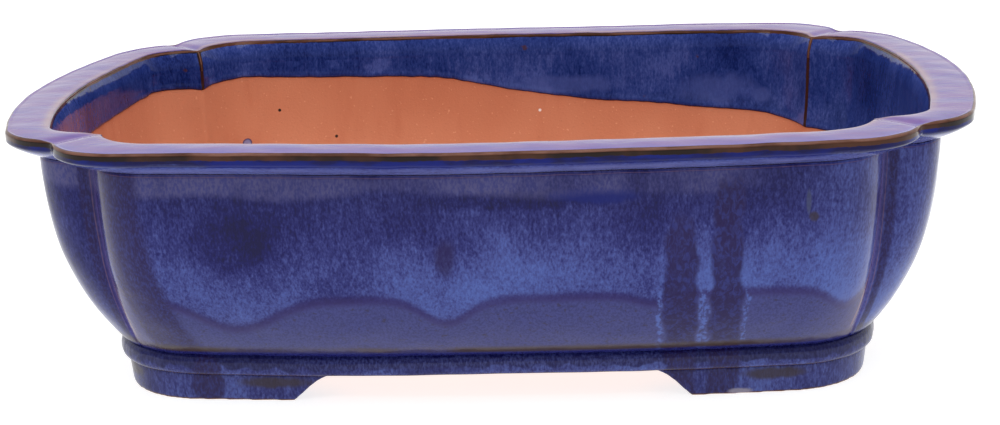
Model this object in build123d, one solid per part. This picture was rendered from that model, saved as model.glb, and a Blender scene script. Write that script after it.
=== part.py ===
from build123d import *

import os
from dataclasses import dataclass, replace
from math import hypot, sqrt

# A glazed stoneware bonsai pot of the mokko (lobed rectangle) kind: two long panels and two
# end lobes that meet in four upright grooves, a broad flat rim, a base moulding and four
# bracket feet.  It is built from clay members luted together with slip, then glazed.
# Millimetres.  +X runs along the length, +Y to the back, +Z up.
# The origin is under the middle of the pot, on the plane that it stands on.

os.makedirs("parts", exist_ok=True)


@dataclass
class Outline:
    """A lobed rectangle seen from above, made of arcs that are tangent within each lobe.

    half_length, half_width: the farthest reach of the end lobes and of the long panels
    notch_x, notch_y: where a long panel meets an end lobe
    panel_radius, end_radius: corner radii of the long panels and of the end lobes
    panel_bow, end_bow: how far the middle of a side stands out beyond its corners
    """

    half_length: float
    half_width: float
    notch_x: float
    notch_y: float
    panel_radius: float
    end_radius: float
    panel_bow: float
    end_bow: float

    def panel_corner(self):
        """Centre of a long panel's corner arc."""
        y = self.half_width - self.panel_bow - self.panel_radius
        x = self.notch_x - sqrt(self.panel_radius**2 - (self.notch_y - y) ** 2)
        return x, y

    def end_corner(self):
        """Centre of an end lobe's corner arc."""
        x = self.half_length - self.end_bow - self.end_radius
        y = self.notch_y - sqrt(self.end_radius**2 - (self.notch_x - x) ** 2)
        return x, y


# Overall size
LENGTH = 400.0
WIDTH = 298.0
HEIGHT = 112.0

# Heights of the level joints between the members
FOOT_HEIGHT = 12.0
SLAB_THICKNESS = 8.0
LIP_DROP = 11.0
WALL_BASE = FOOT_HEIGHT + SLAB_THICKNESS
WALL_TOP = HEIGHT - LIP_DROP

# The rim: a flat top and a short upright lip face, with an underside that curves in to the wall.
# Each pair is a height under the rim's top and the share of the overhang reached there.
LIP_UNDERSIDE = ((LIP_DROP, 0.0), (8.5, 0.48), (6.5, 0.8), (5.0, 0.96), (4.0, 1.0))
LIP_TOP_ROUND = 2.5
LIP_SHOULDER = 0.75

# Outlines from the rim down to the base
RIM = Outline(LENGTH / 2, WIDTH / 2, 162.0, 116.0, 29.0, 36.0, 6.0, 11.0)
RIM_OPENING = Outline(181.0, 130.0, 147.0, 99.0, 26.0, 20.0, 6.0, 9.0)
WALL_AT_TOP = Outline(186.0, 136.0, 150.5, 104.5, 29.0, 23.0, 6.0, 10.0)
WALL_AT_BASE = Outline(159.0, 102.0, 142.0, 85.0, 40.0, 40.0, 6.0, 5.0)
CAVITY_AT_TOP = Outline(179.5, 128.5, 145.5, 97.5, 26.0, 20.0, 6.0, 9.0)
CAVITY_AT_BASE = Outline(150.0, 93.0, 135.5, 77.0, 34.0, 34.0, 6.0, 5.0)

# The walls drop almost straight, then tuck in towards the base
STRAIGHT_SHARE = 0.15
TUCK_POWER = 3
WALL_LEVELS = 12

# Base: a plain rounded rectangle, so its two corner arcs share one centre
BASE_HALF_LENGTH = 160.0
BASE_HALF_WIDTH = 103.0
BASE_RADIUS = 40.0
BAND_DEPTH = 7.0
BAND_BULGE = 1.2
FOOT_SETBACK = 2.0
FOOT_TAPER = 1.5
FOOT_DEPTH = 17.0

# Cut-outs between the feet: half width at the top before rounding, sideways run of their
# sloping ends for each unit of height, and the rounding of their upper corners
FRONT_ARCH_HALF = 67.0
END_ARCH_HALF = 35.0
ARCH_SLOPE = 1.0
ARCH_RADIUS = 17.0

# Holes in the floor
DRAIN_RADIUS = 14.0
DRAIN_SPACING = 150.0
WIRE_HOLE_RADIUS = 2.5
WIRE_SPACING_X = 230.0
WIRE_SPACING_Y = 90.0

# Glaze coats
OUTER_GLAZE = 0.8
INNER_GLAZE = 0.6
INNER_GLAZE_BASE = 45.0
# The glaze inside ends on a slanting line, lower towards the front and the right
GLAZE_LINE_HEIGHT = 74.0
GLAZE_LINE_FALL_X = 0.085
GLAZE_LINE_RISE_Y = 0.06

CUTTER = 2 * LENGTH


def blend(first, second, share):
    """The outline that lies the given share of the way from the first to the second."""
    names = first.__dataclass_fields__
    mixed = {n: getattr(first, n) + share * (getattr(second, n) - getattr(first, n)) for n in names}
    return Outline(**mixed)


def grown(outline, distance):
    """The parallel outline that lies the given distance outside this one."""
    px, py = outline.panel_corner()
    ex, ey = outline.end_corner()
    panel_radius = outline.panel_radius + distance
    end_radius = outline.end_radius + distance
    gap = hypot(ex - px, ey - py)
    along = (panel_radius**2 - end_radius**2 + gap**2) / (2 * gap)
    across = sqrt(panel_radius**2 - along**2)
    ux, uy = (ex - px) / gap, (ey - py) / gap
    crossings = [
        (px + along * ux - turn * across * uy, py + along * uy + turn * across * ux) for turn in (1, -1)
    ]
    notch_x, notch_y = max(crossings)
    return replace(
        outline,
        half_length=outline.half_length + distance,
        half_width=outline.half_width + distance,
        notch_x=notch_x,
        notch_y=notch_y,
        panel_radius=panel_radius,
        end_radius=end_radius,
    )


def base_outline(inset):
    """The plain rounded rectangle of the base, drawn in by the given inset."""
    radius = BASE_RADIUS - inset
    half_length = BASE_HALF_LENGTH - inset
    half_width = BASE_HALF_WIDTH - inset
    panel_bow, end_bow = WALL_AT_BASE.panel_bow, WALL_AT_BASE.end_bow
    corner_x = half_length - end_bow - radius
    corner_y = half_width - panel_bow - radius
    reach = radius * sqrt(0.5)
    notch = corner_x + reach, corner_y + reach
    return Outline(half_length, half_width, *notch, radius, radius, panel_bow, end_bow)


def tuck(z):
    """How far the walls have drawn in at a height, from 0 under the rim to 1 at the base."""
    drop = (WALL_TOP - z) / (WALL_TOP - WALL_BASE)
    return STRAIGHT_SHARE * drop + (1 - STRAIGHT_SHARE) * drop**TUCK_POWER


def wall_outline(z):
    return blend(WALL_AT_TOP, WALL_AT_BASE, tuck(z))


def cavity_outline(z):
    return blend(CAVITY_AT_TOP, CAVITY_AT_BASE, tuck(z))


def arc_about(centre, start, end, z):
    """The short arc about a centre from start to end, at height z."""
    sx, sy = start[0] - centre[0], start[1] - centre[1]
    ex, ey = end[0] - centre[0], end[1] - centre[1]
    scale = hypot(sx, sy) / hypot(sx + ex, sy + ey)
    middle = centre[0] + (sx + ex) * scale, centre[1] + (sy + ey) * scale
    return Edge.make_three_point_arc((*start, z), (*middle, z), (*end, z))


def side_curve(reach, corner, radius, notch):
    """Corner, notch and tangent points of one side, its middle reaching out along +second axis.

    reach is the side's farthest distance, corner the centre of its corner arc, given as
    (distance along the side, distance out), and notch the side's end in the same form.
    """
    along, out = corner
    bow_radius = (along**2 + (reach - out) ** 2 - radius**2) / (2 * (reach - out - radius))
    bow_centre = reach - bow_radius
    stretch = bow_radius / hypot(along, out - bow_centre)
    tangent = along * stretch, bow_centre + (out - bow_centre) * stretch
    return corner, notch, tangent, reach


def side_edges(outline, side, z):
    """The three arcs of the front side (-Y) or the right side (+X), from notch to notch."""
    notch = outline.notch_x, outline.notch_y
    if side == "front":
        parts = side_curve(outline.half_width, outline.panel_corner(), outline.panel_radius, notch)

        def place(along, out):
            return along, -out

    else:
        ex, ey = outline.end_corner()
        parts = side_curve(outline.half_length, (ey, ex), outline.end_radius, notch[::-1])

        def place(along, out):
            return out, along

    corner, end, tangent, reach = parts
    left = [place(-p[0], p[1]) for p in (corner, end, tangent)]
    right = [place(*p) for p in (corner, end, tangent)]
    middle = place(0.0, reach)
    return [
        arc_about(left[0], left[1], left[2], z),
        Edge.make_three_point_arc((*left[2], z), (*middle, z), (*right[2], z)),
        arc_about(right[0], right[2], right[1], z),
    ]


def section(outer, inner, side, z):
    """The face between two outlines on one side of the pot, closed across both notches."""
    outside = side_edges(outer, side, z)
    inside = side_edges(inner, side, z)
    closing = [
        Edge.make_line(outside[0] @ 0, inside[0] @ 0),
        Edge.make_line(outside[-1] @ 1, inside[-1] @ 1),
    ]
    return Face(Wire(outside + inside + closing))


def member(levels, side):
    """A solid through sections given as (height, outer outline, inner outline)."""
    sections = [section(outer, inner, side, z) for z, outer, inner in levels]
    return loft(sections, ruled=True)


def four_sides(name, levels):
    """The front and right members, and their mirror images at the back and left."""
    front = member(levels, "front")
    right = member(levels, "right")
    return {
        f"{name}_front": front,
        f"{name}_back": front.mirror(Plane.XZ),
        f"{name}_right": right,
        f"{name}_left": right.mirror(Plane.YZ),
    }


def heights(low, high, count):
    return [low + (high - low) * i / (count - 1) for i in range(count)]


def walls():
    zs = heights(WALL_BASE, WALL_TOP, WALL_LEVELS)
    return four_sides("wall", [(z, wall_outline(z), cavity_outline(z)) for z in zs])


def outer_glaze():
    zs = heights(WALL_BASE, WALL_TOP, WALL_LEVELS)
    levels = [(z, grown(wall_outline(z), OUTER_GLAZE), wall_outline(z)) for z in zs]
    return four_sides("outer_glaze", levels)


def rims():
    """Lip members that sit on the wall tops and overhang them."""
    underside = [(HEIGHT - drop, blend(WALL_AT_TOP, RIM, share)) for drop, share in LIP_UNDERSIDE]
    top = [
        (HEIGHT - LIP_TOP_ROUND, RIM),
        (HEIGHT - LIP_SHOULDER, grown(RIM, -LIP_SHOULDER)),
        (HEIGHT, grown(RIM, -LIP_TOP_ROUND)),
    ]
    levels = []
    for z, outer in underside + top:
        opening = blend(CAVITY_AT_TOP, RIM_OPENING, (z - WALL_TOP) / LIP_DROP)
        levels.append((z, outer, opening))
    return four_sides("rim", levels)


def base_bands():
    """The rounded moulding that wraps the edge of the floor slab."""
    core = base_outline(BAND_DEPTH)
    middle = (FOOT_HEIGHT + WALL_BASE) / 2
    band = [
        (FOOT_HEIGHT, base_outline(BAND_BULGE)),
        (middle, base_outline(-BAND_BULGE / 2)),
        (WALL_BASE, base_outline(0)),
    ]
    return four_sides("base_band", [(z, outer, core) for z, outer in band])


def whole_face(outline, z):
    """The whole area inside an outline."""
    edges = []
    for side, plane in (("front", Plane.XZ), ("right", Plane.YZ)):
        drawn = side_edges(outline, side, z)
        edges += drawn + [edge.mirror(plane) for edge in drawn]
    return Face(Wire(edges))


def floor_slab():
    """The bottom slab, with drain holes and small holes for the tie-down wires."""
    slab = extrude(whole_face(base_outline(BAND_DEPTH), FOOT_HEIGHT), SLAB_THICKNESS, dir=(0, 0, 1))
    middle = (FOOT_HEIGHT + WALL_BASE) / 2
    drains = GridLocations(DRAIN_SPACING, 1, 2, 1) * Cylinder(DRAIN_RADIUS, 2 * SLAB_THICKNESS)
    wires = GridLocations(WIRE_SPACING_X, WIRE_SPACING_Y, 2, 2)
    wires = wires * Cylinder(WIRE_HOLE_RADIUS, 2 * SLAB_THICKNESS)
    holes = [Pos(0, 0, middle) * h for h in (*drains, *wires)]
    return slab - holes


def arch(plane, half_width):
    """A cutter for the space under the pot between two feet, right across it."""
    spread = half_width + ARCH_SLOPE * 2 * FOOT_HEIGHT
    corners = [(-spread, -FOOT_HEIGHT), (-half_width, FOOT_HEIGHT)]
    corners += [(-x, z) for x, z in reversed(corners)]
    profile = make_face(Polyline(*corners, close=True))
    upper = profile.vertices().sort_by(Axis.Y)[-2:]
    return extrude(plane * fillet(upper, ARCH_RADIUS), CUTTER / 2, both=True)


def feet():
    """Four bracket feet that wrap the corners under the slab."""
    core = base_outline(FOOT_SETBACK + FOOT_DEPTH)
    bottom = whole_face(base_outline(FOOT_SETBACK + FOOT_TAPER), 0)
    top = whole_face(base_outline(FOOT_SETBACK), FOOT_HEIGHT)
    ring = loft([bottom, top], ruled=True) - extrude(whole_face(core, 0), FOOT_HEIGHT, dir=(0, 0, 1))
    ring -= arch(Plane.XZ, FRONT_ARCH_HALF)
    ring -= arch(Plane.YZ, END_ARCH_HALF)
    named = {}
    for solid in ring.solids():
        middle = solid.center()
        depth = "front" if middle.Y < 0 else "back"
        hand = "left" if middle.X < 0 else "right"
        named[f"foot_{depth}_{hand}"] = solid
    return named


def above_glaze_line():
    """Everything above the slanting line where the inside glaze ends."""
    normal = Vector(GLAZE_LINE_FALL_X, -GLAZE_LINE_RISE_Y, 1)
    plane = Plane(origin=(0, 0, GLAZE_LINE_HEIGHT), z_dir=normal)
    return plane * Box(CUTTER, CUTTER, HEIGHT, align=(Align.CENTER, Align.CENTER, Align.MIN))


def inner_glaze():
    zs = [z for z in heights(WALL_BASE, WALL_TOP, WALL_LEVELS) if z > INNER_GLAZE_BASE]
    levels = [(z, cavity_outline(z), grown(cavity_outline(z), -INNER_GLAZE)) for z in zs]
    keep = above_glaze_line()
    return {name: solid & keep for name, solid in four_sides("inner_glaze", levels).items()}


def build():
    nodes = {"floor_slab": floor_slab()}
    for group in (feet, base_bands, walls, rims, outer_glaze, inner_glaze):
        nodes.update(group())
    return nodes


for node, shape in build().items():
    export_step(shape, f"parts/{node}.step")
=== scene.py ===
from dataclasses import dataclass
from math import acos, cos, hypot, pi, radians, sin, sqrt, tan

import bpy
import numpy as np
from mathutils import Matrix, Vector


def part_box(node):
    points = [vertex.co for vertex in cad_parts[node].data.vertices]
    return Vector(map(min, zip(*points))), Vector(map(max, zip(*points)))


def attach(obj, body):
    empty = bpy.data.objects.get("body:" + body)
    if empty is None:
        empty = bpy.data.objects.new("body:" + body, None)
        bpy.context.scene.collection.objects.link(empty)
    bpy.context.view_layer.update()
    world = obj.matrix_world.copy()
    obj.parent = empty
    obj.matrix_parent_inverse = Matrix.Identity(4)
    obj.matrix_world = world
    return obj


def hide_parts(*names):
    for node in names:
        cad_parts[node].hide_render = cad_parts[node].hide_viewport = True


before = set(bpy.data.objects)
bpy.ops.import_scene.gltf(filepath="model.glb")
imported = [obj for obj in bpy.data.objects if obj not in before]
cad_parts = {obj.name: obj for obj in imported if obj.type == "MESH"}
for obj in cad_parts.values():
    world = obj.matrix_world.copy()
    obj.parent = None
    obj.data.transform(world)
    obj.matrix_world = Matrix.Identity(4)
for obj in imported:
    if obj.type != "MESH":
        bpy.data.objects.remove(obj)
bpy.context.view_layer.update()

# Metres.  +X runs along the pot, +Y to its back, +Z up, the origin is under its middle.
MM = 0.001
SIDES = ("front", "right", "back", "left")
LONG_SIDES = ("front", "back")

# Heights of the CAD's level joints
FOOT_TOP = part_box("floor_slab")[0].z
WALL_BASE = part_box("wall_front")[0].z
WALL_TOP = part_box("wall_front")[1].z
RIM_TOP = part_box("rim_front")[1].z


# --- Outlines ---

@dataclass
class Outline:
    """A lobed rectangle seen from above, made of arcs that are tangent within each lobe.

    half_length, half_width: the farthest reach of the end lobes and of the long panels
    notch_x, notch_y: where a long panel meets an end lobe
    panel_radius, end_radius: corner radii of the long panels and of the end lobes
    panel_bow, end_bow: how far the middle of a side stands out beyond its corners
    """

    half_length: float
    half_width: float
    notch_x: float
    notch_y: float
    panel_radius: float
    end_radius: float
    panel_bow: float
    end_bow: float

    def panel_corner(self):
        y = self.half_width - self.panel_bow - self.panel_radius
        x = self.notch_x - sqrt(self.panel_radius**2 - (self.notch_y - y) ** 2)
        return x, y

    def end_corner(self):
        x = self.half_length - self.end_bow - self.end_radius
        y = self.notch_y - sqrt(self.end_radius**2 - (self.notch_x - x) ** 2)
        return x, y


def outline(*sizes_mm):
    return Outline(*(size * MM for size in sizes_mm))


def blend(first, second, share):
    names = first.__dataclass_fields__
    return Outline(**{n: getattr(first, n) * (1 - share) + getattr(second, n) * share for n in names})


# The CAD's outlines, from the rim down to the base
RIM = outline(200, 149, 162, 116, 29, 36, 6, 11)
RIM_OPENING = outline(181, 130, 147, 99, 26, 20, 6, 9)
WALL_AT_TOP = outline(186, 136, 150.5, 104.5, 29, 23, 6, 10)
WALL_AT_BASE = outline(159, 102, 142, 85, 40, 40, 6, 5)
CAVITY_AT_TOP = outline(179.5, 128.5, 145.5, 97.5, 26, 20, 6, 9)
CAVITY_AT_BASE = outline(150, 93, 135.5, 77, 34, 34, 6, 5)
STRAIGHT_SHARE = 0.15
TUCK_POWER = 3

BASE_HALF_LENGTH = 160 * MM
BASE_HALF_WIDTH = 103 * MM
BASE_RADIUS = 40 * MM
BAND_DEPTH = 7 * MM

# Points along a side: in each corner arc, crowded towards the notch, and in the bow between them
CORNER_POINTS = 34
CORNER_CROWDING = 1.7
PANEL_POINTS = 236
END_POINTS = 150


def tuck(z):
    """Share of the way from the wall's top outline to its base outline at a height."""
    drop = (WALL_TOP - z) / (WALL_TOP - WALL_BASE)
    return STRAIGHT_SHARE * drop + (1 - STRAIGHT_SHARE) * drop**TUCK_POWER


def wall_outline(z):
    return blend(WALL_AT_TOP, WALL_AT_BASE, tuck(z))


def cavity_outline(z):
    return blend(CAVITY_AT_TOP, CAVITY_AT_BASE, tuck(z))


def base_outline(inset):
    """The plain rounded rectangle of the base, with its notch points on the corner arcs."""
    radius = BASE_RADIUS - inset
    half_length = BASE_HALF_LENGTH - inset
    half_width = BASE_HALF_WIDTH - inset
    bows = WALL_AT_BASE.panel_bow, WALL_AT_BASE.end_bow
    reach = radius * sqrt(0.5)
    notch = half_length - bows[1] - radius + reach, half_width - bows[0] - radius + reach
    return Outline(half_length, half_width, *notch, radius, radius, *bows)


def bow_between(corner, radius, reach):
    """The bow tangent to both corner arcs of a side: its centre, its radius and where it starts."""
    along, out = corner
    bow_radius = (along**2 + (reach - out) ** 2 - radius**2) / (2 * (reach - out - radius))
    centre = reach - bow_radius
    stretch = bow_radius / hypot(along, out - centre)
    return centre, bow_radius, (along * stretch, centre + (out - centre) * stretch)


def softening(notch, corner, other, run, soften):
    """How far the points of a corner arc move to round off the notch, from their run to it."""
    own, beside = unit(np.array(notch) - corner), unit(np.array(notch) - other)
    slope = tan(acos(min(1.0, float(own @ beside))) / 2)
    return (slope * (np.sqrt(run**2 + soften**2) - run))[:, None] * unit(own + beside)


def side_points(shape, side, soften=0.0):
    """Points of one side as an (n, 2) array, anticlockwise from notch to notch.

    soften rounds the sharp corner at each notch, as a hyperbola that stays this far off it.
    """
    notch = shape.notch_x, shape.notch_y
    if side in LONG_SIDES:
        reach, corner, radius = shape.half_width, shape.panel_corner(), shape.panel_radius
        other, count = shape.end_corner(), PANEL_POINTS
    else:
        reach, corner, radius = shape.half_length, shape.end_corner()[::-1], shape.end_radius
        notch = notch[::-1]
        other, count = shape.panel_corner()[::-1], END_POINTS
    centre, bow_radius, tangent = bow_between(corner, radius, reach)

    along, out = corner
    start = np.arctan2(notch[1] - out, notch[0] - along)
    end = np.arctan2(tangent[1] - out, tangent[0] - along)
    angles = start + (end - start) * np.linspace(0, 1, CORNER_POINTS) ** CORNER_CROWDING
    arc = np.stack([along + radius * np.cos(angles), out + radius * np.sin(angles)], 1)
    if soften:
        run = np.abs(angles - start) * radius * sqrt(0.5)
        arc = arc + softening(notch, corner, other, run, soften)
    first = np.arctan2(tangent[1] - centre, tangent[0])
    sweep = np.linspace(first, pi - first, count)
    bow = np.stack([bow_radius * np.cos(sweep), centre + bow_radius * np.sin(sweep)], 1)

    # the points run from one end to the other, and are laid out anticlockwise on their own side
    points = np.concatenate([arc, bow[1:-1], (arc * (-1, 1))[::-1]])
    a, o = -points[:, 0], points[:, 1]
    placed = {"front": (a, -o), "back": (-a, o), "right": (o, a), "left": (-o, -a)}
    return np.stack(placed[side], 1)


def run_to_notch(points):
    """Each point's distance along its side to the nearer notch."""
    steps = np.linalg.norm(np.diff(points, axis=0), axis=1)
    run = np.concatenate([[0], np.cumsum(steps)])
    return np.minimum(run, run[-1] - run)


def unit(vectors):
    return vectors / np.linalg.norm(vectors, axis=-1, keepdims=True)


def smooth(value, low, high):
    """0 below low, 1 above high and a smooth step between."""
    t = np.clip((value - low) / (high - low), 0, 1)
    return t * t * (3 - 2 * t)


def peak(offset, breadth):
    """1 where the offset is 0, falling off smoothly over the breadth on both sides."""
    return np.exp(-((offset / breadth) ** 2))


def rolled(depth, width):
    """Height share of a rounded edge, 0 at the edge and 1 past its width."""
    t = np.clip(depth / width, 0, 1)
    return np.sqrt(np.maximum(0, 1 - (1 - t) ** 2))


# --- The unevenness of handmade clay ---

class Ripple:
    """A smooth random field in space: a sum of waves, in a fixed seeded order."""

    def __init__(self, seed, wavelength, waves=14):
        rng = np.random.default_rng(seed)
        directions = unit(rng.normal(size=(waves, 3)))
        lengths = wavelength * rng.uniform(0.7, 1.6, size=(waves, 1))
        self.waves = 2 * pi * directions / lengths
        self.phases = rng.uniform(0, 2 * pi, size=waves)
        self.scale = sqrt(2 / waves)

    def __call__(self, points):
        return self.scale * np.sin(points @ self.waves.T + self.phases).sum(axis=-1)


# The slow warp of drying and firing, and the finer unevenness of a hand-wiped surface
SLOW_WARP = [(Ripple(seed, 170 * MM), 0.35 * MM) for seed in (11, 12, 13)]
FINE_WARP = [(Ripple(seed, 16 * MM), 0.045 * MM) for seed in (21, 22, 23)]
FOOT_HOLD = 12 * MM  # the warp doesn't lift the feet, and is free from this height up


def warped(points):
    """Every piece gets the same warp, so pieces that touch still touch."""
    moved = points.copy()
    foot_hold = smooth(points[..., 2], 0.0, FOOT_HOLD)
    for group in (SLOW_WARP, FINE_WARP):
        for axis, (field, size) in enumerate(group):
            hold = foot_hold if axis == 2 else 1.0
            moved[..., axis] += size * field(points) * hold
    return moved


# --- Meshes ---

SHARP_ANGLE = radians(48)
SHAPED = "_shaped"  # ends a piece's name, after the CAD node it stands for
PIECES = {}  # the finished pieces, by that node


def grid_faces(rows, columns):
    """Quads of a grid of points, whose rows close into a loop."""
    j = np.arange(rows)[:, None]
    i = np.arange(columns - 1)[None, :]
    above = (j + 1) % rows
    quads = [j * columns + i, j * columns + i + 1, above * columns + i + 1, above * columns + i]
    return np.stack(quads, -1).reshape(-1, 4)


def zipped_ends(rows, columns):
    """Quads that zip a loop's first half to its second, at both ends of a side."""
    k = np.arange(rows // 2 - 1)
    loop = np.stack([k, k + 1, rows - 2 - k, rows - 1 - k], 1)
    return np.concatenate([loop * columns, loop[:, ::-1] * columns + columns - 1])


def single_ends(rows, columns):
    """One face over the whole loop, at both ends of a side."""
    loop = np.arange(rows)
    return np.stack([loop * columns, loop[::-1] * columns + columns - 1])


def write_fields(mesh, fields):
    """Store each field's numbers, one for each point, where a material can read them."""
    for field, values in fields.items():
        layer = mesh.attributes.new(field, "FLOAT", "POINT")
        layer.data.foreach_set("value", np.ascontiguousarray(values, dtype=np.float32).ravel())


def add_object(name, data):
    made = bpy.data.objects.new(name, data)
    bpy.context.scene.collection.objects.link(made)
    return made


def add_piece(node, mesh):
    """Put a mesh in the scene, shaded smooth, as the piece for a CAD node."""
    mesh.polygons.foreach_set("use_smooth", [True] * len(mesh.polygons))
    mesh.update()
    PIECES[node] = add_object(node + SHAPED, mesh)


def add_loop_piece(node, loop, fields=None, end_faces=zipped_ends):
    """A closed piece from an array (points round the section, points along the side, xyz)."""
    rows, columns = loop.shape[:2]
    mesh = bpy.data.meshes.new(node)
    faces = grid_faces(rows, columns).tolist() + end_faces(rows, columns).tolist()
    mesh.from_pydata(warped(loop).reshape(-1, 3).tolist(), [], faces)
    write_fields(mesh, fields or {})
    add_piece(node, mesh)
    mesh.set_sharp_from_angle(angle=SHARP_ANGLE)


def lifted(plan, z):
    """Plan points (n, 2) at a height, or at a height for each point."""
    return np.concatenate([plan, np.broadcast_to(z, plan.shape[:1])[:, None]], 1)


def closer_at_ends(low, high, count, power):
    """Heights between two levels, closer together at both ends."""
    t = np.linspace(-1, 1, count)
    eased = np.sign(t) * (1 - (1 - np.abs(t)) ** power)
    return low + (high - low) * (eased + 1) / 2


# --- Walls and the glaze on them ---

WALL_ROWS = 84
WALL_CROWDING = 1.25
GLAZE_THICKNESS = 0.8 * MM
CLAY_SHARE = 0.8  # the clay surface lies this share of the glaze's thickness down
PANEL_RISE = 1.1 * MM  # how far a panel stands out of the grooves beside it
RISE_LOSS = 0.4  # a panel's rise is this much less at the base
TOP_EASE = 0.5  # and this much less right under the lip
TOP_EASE_REACH = 4 * MM
PANEL_EDGE = 1.1 * MM  # width of the tight roll along a panel's edge
PANEL_SWELL = 7 * MM  # width of the gentle swell behind it
SWELL_SHARE = 0.45  # share of the rise that is in the swell
PANEL_CORNER = 4 * MM  # radius of a panel's upper corners
PANEL_DROP = 0.35 * MM  # flat strip between the lip and a panel's top
GROOVE_TOP = 1.2 * MM  # half width of a groove under the lip and at the base
GROOVE_BASE = 0.5 * MM
BASE_ROLL = 2.5 * MM  # the wall's foot rolls in to the crease over the moulding
BASE_DROP = 0.7 * MM
NOTCH_SOFT = 0.9 * MM
RIDGE_SOFT = 1.6 * MM  # rounding of the upright ridges inside
COVE = 7 * MM  # radius of the cove between the walls and the floor inside


def panel_depth(run, z):
    """How far inside its panel a point of the wall is, with rounded upper corners."""
    share = tuck(z)
    side = run - (GROOVE_TOP * (1 - share) + GROOVE_BASE * share)
    top = np.broadcast_to(WALL_TOP - PANEL_DROP - z, side.shape)
    rounded = PANEL_CORNER - np.hypot(PANEL_CORNER - side, PANEL_CORNER - top)
    in_corner = (side < PANEL_CORNER) & (top < PANEL_CORNER)
    return np.where(in_corner, rounded, np.minimum(side, top))


def panel_lift(depth, z):
    """How far the glaze stands out of the wall's plain outline."""
    eased = 1 - TOP_EASE * smooth(z, WALL_TOP - TOP_EASE_REACH, WALL_TOP)
    full = PANEL_RISE * (1 - RISE_LOSS * tuck(z)) * eased
    shape = (1 - SWELL_SHARE) * rolled(depth, PANEL_EDGE) + SWELL_SHARE * rolled(depth, PANEL_SWELL)
    lift = GLAZE_THICKNESS + full * (shape - 1)
    return lift - BASE_DROP * (1 - rolled(z - WALL_BASE, BASE_ROLL))


def wall_surfaces(side):
    """Outer surface and cavity grids from the base up, depths in the panel, runs to the notch."""
    rows = []
    for z in closer_at_ends(WALL_BASE, WALL_TOP, WALL_ROWS, WALL_CROWDING):
        plan = side_points(wall_outline(z), side, NOTCH_SOFT)
        cavity = side_points(cavity_outline(z), side, RIDGE_SOFT)
        outward = unit(plan - cavity)
        run = run_to_notch(plan)
        depth = panel_depth(run, z)
        outer = plan + outward * panel_lift(depth, z)[:, None]
        inner = cavity - outward * COVE * (1 - rolled(z - WALL_BASE, COVE))
        rows.append((lifted(outer, z), lifted(inner, z), depth, run))
    return [np.array(grid) for grid in zip(*rows)]


# Where the thick glaze on a side ran lower: (place along the side, drop, half width), in mm
RUNS = {
    "front": ((-97, 15.5, 21), (-15, 11.5, 12), (63, 4, 9), (138, 9, 9)),
    "back": ((-120, 8, 12), (-48, 14, 20), (30, 6, 14), (96, 16, 15)),
    "right": ((-96, 34, 46), (22, 8, 20)),
    "left": ((96, 34, 46), (-30, 9, 18)),
}
RUN_HEIGHT = 49.5 * MM
RUN_WAVE = Ripple(41, 60 * MM)
RUN_WAVE_SIZE = 0.9 * MM
RUN_BEAD = 0.22 * MM  # the glaze is this much thicker just above its lower edge

# Dark drips down a side: (place along the side, half width, top height), in mm
DRIPS = {
    "front": ((73.6, 5.8, 94), (91.0, 5.8, 108)),
    "back": ((-12, 4.5, 90), (118, 6.0, 70)),
    "right": ((58, 4.5, 84),),
    "left": ((-62, 4.0, 92), (8, 5.5, 66)),
}
DRIP_WAVE = Ripple(42, 11 * MM)
DRIP_WAVE_SIZE = 0.7 * MM
DRIP_EDGE = -3.2 * MM, 2.6 * MM  # how far inside its half width a drip begins and is full
DRIP_TOP = -6 * MM, 26 * MM  # the same for its top
DRIP_RISE = 0.12 * MM

# How dark the glaze is beside the grooves, at a side's start and at its end (anticlockwise)
SHADED_ENDS = {"front": (1.0, 0.1), "right": (0.75, 0.9), "back": (0.3, 0.8), "left": (0.4, 0.9)}
SHADED_BAND = (7 * MM, 17 * MM), (26 * MM, 40 * MM)  # on long panels: where it rises and falls
SHADED_STREAK = (1.2 * MM, 3 * MM), (4 * MM, 7.5 * MM)  # on end lobes
SHADED_TURN = -40 * MM, 40 * MM

# The thin glaze on the upright edges, on long panels and on end lobes, and along a panel's top
EDGE_PLACE = 3.4 * MM, 1.6 * MM
EDGE_BREADTH = 0.7 * MM, 0.35 * MM
EDGE_SHARE = 1.0, 0.6
EDGE_FOOT = 22 * MM, 30 * MM
TOP_LINE = 0.5 * MM, 0.3 * MM
TOP_LINE_SHARE = 0.6
# painted reflection: how far a rosy sheen reaches from the notch on a long panel
SHEEN_REACH = 6 * MM
GROOVE_BREADTH = 1.3 * MM

ALONG = {"front": (1, 0), "right": (0, 1), "back": (-1, 0), "left": (0, -1)}


def place_along(points, side):
    return points[..., 0] * ALONG[side][0] + points[..., 1] * ALONG[side][1]


def above_run(points, side):
    """Height above the lower edge of the thick glaze, in centimetres."""
    place = place_along(points, side)
    line = RUN_HEIGHT + RUN_WAVE_SIZE * RUN_WAVE(points * (1, 1, 0))
    for middle, drop, width in RUNS[side]:
        line = line - drop * MM * peak(place - middle * MM, width * MM)
    return np.clip((points[..., 2] - line) / (10 * MM), -2, 6)


def drip_share(points, side):
    """How much a point lies in a dark drip, with a wandering soft edge."""
    place = place_along(points, side)
    wander = DRIP_WAVE_SIZE * DRIP_WAVE(points)
    share = np.zeros(place.shape)
    for middle, width, top in DRIPS[side]:
        inside = width * MM - np.abs(place - middle * MM) + wander
        soft_top = smooth(top * MM - points[..., 2], *DRIP_TOP)
        share = np.maximum(share, smooth(inside, *DRIP_EDGE) * soft_top)
    return share


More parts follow.
